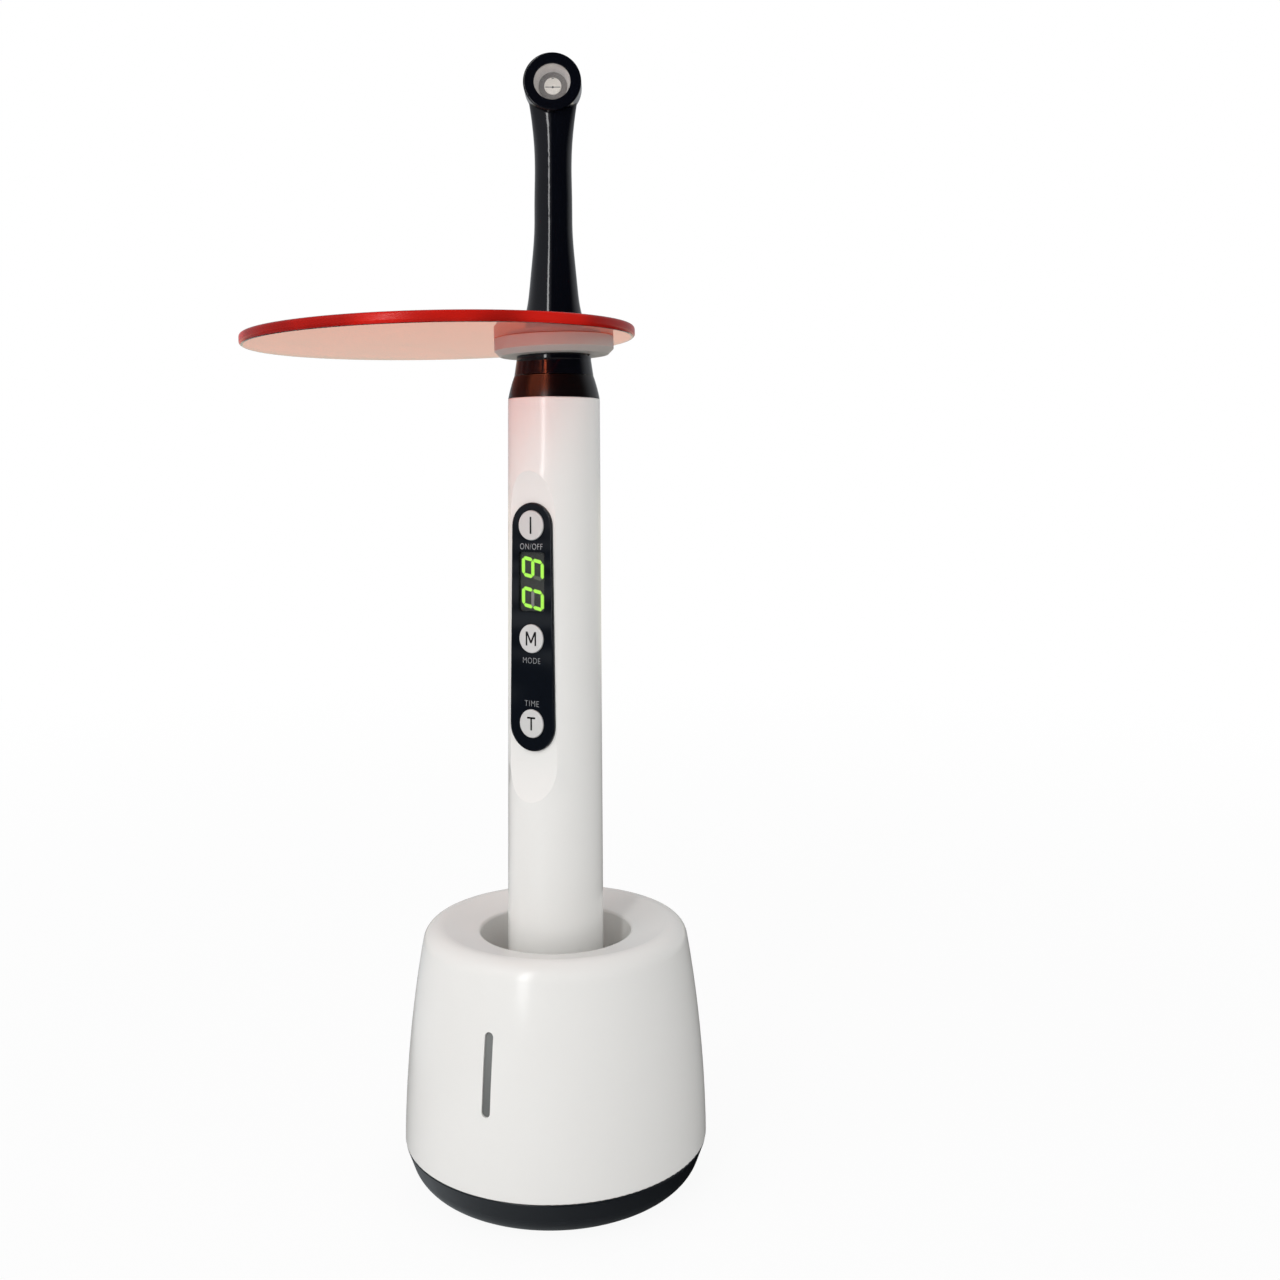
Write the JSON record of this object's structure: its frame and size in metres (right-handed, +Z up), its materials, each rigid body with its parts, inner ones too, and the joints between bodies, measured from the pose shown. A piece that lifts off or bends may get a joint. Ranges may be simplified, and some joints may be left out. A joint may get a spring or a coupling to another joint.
{
  "type": "dental curing light",
  "caption": "Cordless pen-style light on a round charging base: slim white handle with keys and display, swivelling black neck and lamp head, and a round clip-on eye shield.",
  "frame": {"origin": "centre of the foot pad's underside, on the surface that the base stands on", "axes": "+Z up along the handpiece and the base's axis; -Y is the side that the lamp shines to"},
  "size_m": [0.1213, 0.097, 0.2897],
  "materials": {
    "white_plastic": "satin white moulded ABS",
    "black_plastic": "polished black",
    "tray_plastic": "satin black",
    "panel_plastic": "glossy black keypad cover",
    "pad_rubber": "matte black non-slip pad",
    "seal_rubber": "matte black seal",
    "silicone": "translucent white silicone",
    "shield_acrylic": "clear orange-red acrylic",
    "clear_plastic": "clear polycarbonate",
    "smoked_window": "smoked display window",
    "guide_plastic": "smoky translucent light guide",
    "button_plastic": "light grey buttons",
    "switch_plastic": "black switch body",
    "display_plastic": "dark grey display face",
    "lit_segment": "lit yellow-green segment",
    "unlit_segment": "pale unlit segment",
    "steel": "plain steel",
    "plated_steel": "nickel plated",
    "cast_ballast": "cast ballast weight",
    "contact_brass": "gold-plated brass",
    "board_laminate": "green solder mask",
    "led_laminate": "taupe metal-core board",
    "led_phosphor": "emitter face",
    "reflector_metal": "bright vapour-coated reflector",
    "heat_metal": "machined aluminium",
    "battery_wrap": "plain shrink wrap",
    "lead_insulation": "black lead",
    "natural_nylon": "natural nylon"
  },
  "bodies": {
    "charging_base": {"foot_pad": "pad_rubber", "base_tray": "tray_plastic", "base_screws": "steel", "ballast_plate": "cast_ballast", "base_board": "board_laminate", "board_screws": "steel", "dc_socket": "switch_plastic", "charge_pin_barrels": "contact_brass", "pin_spring_centre": "steel", "pin_spring_left": "steel", "pin_spring_right": "steel", "light_guide": "guide_plastic", "indicator_board": "board_laminate", "status_leds": "led_phosphor", "base_shell": "white_plastic"},
    "charge_pin_centre": {"charge_pin_centre": "contact_brass"},
    "charge_pin_left": {"charge_pin_left": "contact_brass"},
    "charge_pin_right": {"charge_pin_right": "contact_brass"},
    "handpiece": {"end_cap": "black_plastic", "cap_centre_contact": "contact_brass", "cap_ring_contact": "contact_brass", "end_cap_seal": "seal_rubber", "battery_spring": "plated_steel", "battery_cell": "battery_wrap", "battery_contact": "plated_steel", "battery_divider": "natural_nylon", "main_board": "board_laminate", "tact_switches": "switch_plastic", "display_module": "display_plastic", "lit_segments": "lit_segment", "unlit_segments": "unlit_segment", "display_window": "smoked_window", "control_panel": "panel_plastic", "handle_tube": "white_plastic", "buzzer": "switch_plastic", "jack_carrier": "natural_nylon", "jack_socket": "switch_plastic", "collar_ring": "black_plastic", "swivel_bush": "natural_nylon"},
    "power_button": {"power_button": "button_plastic", "power_switch_plunger": "switch_plastic"},
    "mode_button": {"mode_button": "button_plastic", "mode_switch_plunger": "switch_plastic"},
    "time_button": {"time_button": "button_plastic", "time_switch_plunger": "switch_plastic"},
    "head": {"head_shell": "black_plastic", "swivel_clip": "steel", "swivel_seal": "seal_rubber", "jack_plug": "contact_brass", "led_lead": "lead_insulation", "heat_slug": "heat_metal", "led_board": "led_laminate", "led_emitter": "led_phosphor", "reflector": "reflector_metal", "lens_window": "clear_plastic", "lens_bezel": "black_plastic"},
    "shield_mount": {"shield_mount": "silicone"},
    "shield": {"shield_plate": "shield_acrylic"}
  },
  "joints": [
    {"name": "handpiece_lift", "type": "slide", "parent": "charging_base", "child": "handpiece", "axis": [0, 0, 1], "range_m": [0, 0.06]},
    {"name": "head_swivel", "type": "hinge", "parent": "handpiece", "child": "head", "pos_m": [0, 0, 0.2065], "axis": [0, 0, 1], "continuous": true},
    {"name": "shield_lift", "type": "slide", "parent": "head", "child": "shield_mount", "axis": [0, 0, 1], "range_m": [0, 0.085]},
    {"name": "shield_turn", "type": "hinge", "parent": "shield_mount", "child": "shield", "pos_m": [0, 0, 0.2163], "axis": [-0.0279, 0, 0.9996], "continuous": true},
    {"name": "power_press", "type": "slide", "parent": "handpiece", "child": "power_button", "axis": [0.515, 0.8572, 0], "range_m": [0, 0.0003], "stiffness_N_per_m": 3000, "springref_m": -0.0003},
    {"name": "mode_press", "type": "slide", "parent": "handpiece", "child": "mode_button", "axis": [0.515, 0.8572, 0], "range_m": [0, 0.0003], "stiffness_N_per_m": 3000, "springref_m": -0.0003},
    {"name": "time_press", "type": "slide", "parent": "handpiece", "child": "time_button", "axis": [0.515, 0.8572, 0], "range_m": [0, 0.0003], "stiffness_N_per_m": 3000, "springref_m": -0.0003},
    {"name": "pin_centre_press", "type": "slide", "parent": "charging_base", "child": "charge_pin_centre", "axis": [0, 0, -1], "range_m": [0, 0.0008], "stiffness_N_per_m": 250, "springref_m": -0.0006, "deforming": ["pin_spring_centre"]},
    {"name": "pin_left_press", "type": "slide", "parent": "charging_base", "child": "charge_pin_left", "axis": [0, 0, -1], "range_m": [0, 0.0008], "stiffness_N_per_m": 250, "springref_m": -0.0006, "deforming": ["pin_spring_left"]},
    {"name": "pin_right_press", "type": "slide", "parent": "charging_base", "child": "charge_pin_right", "axis": [0, 0, -1], "range_m": [0, 0.0008], "stiffness_N_per_m": 250, "springref_m": -0.0006, "deforming": ["pin_spring_right"]}
  ]
}
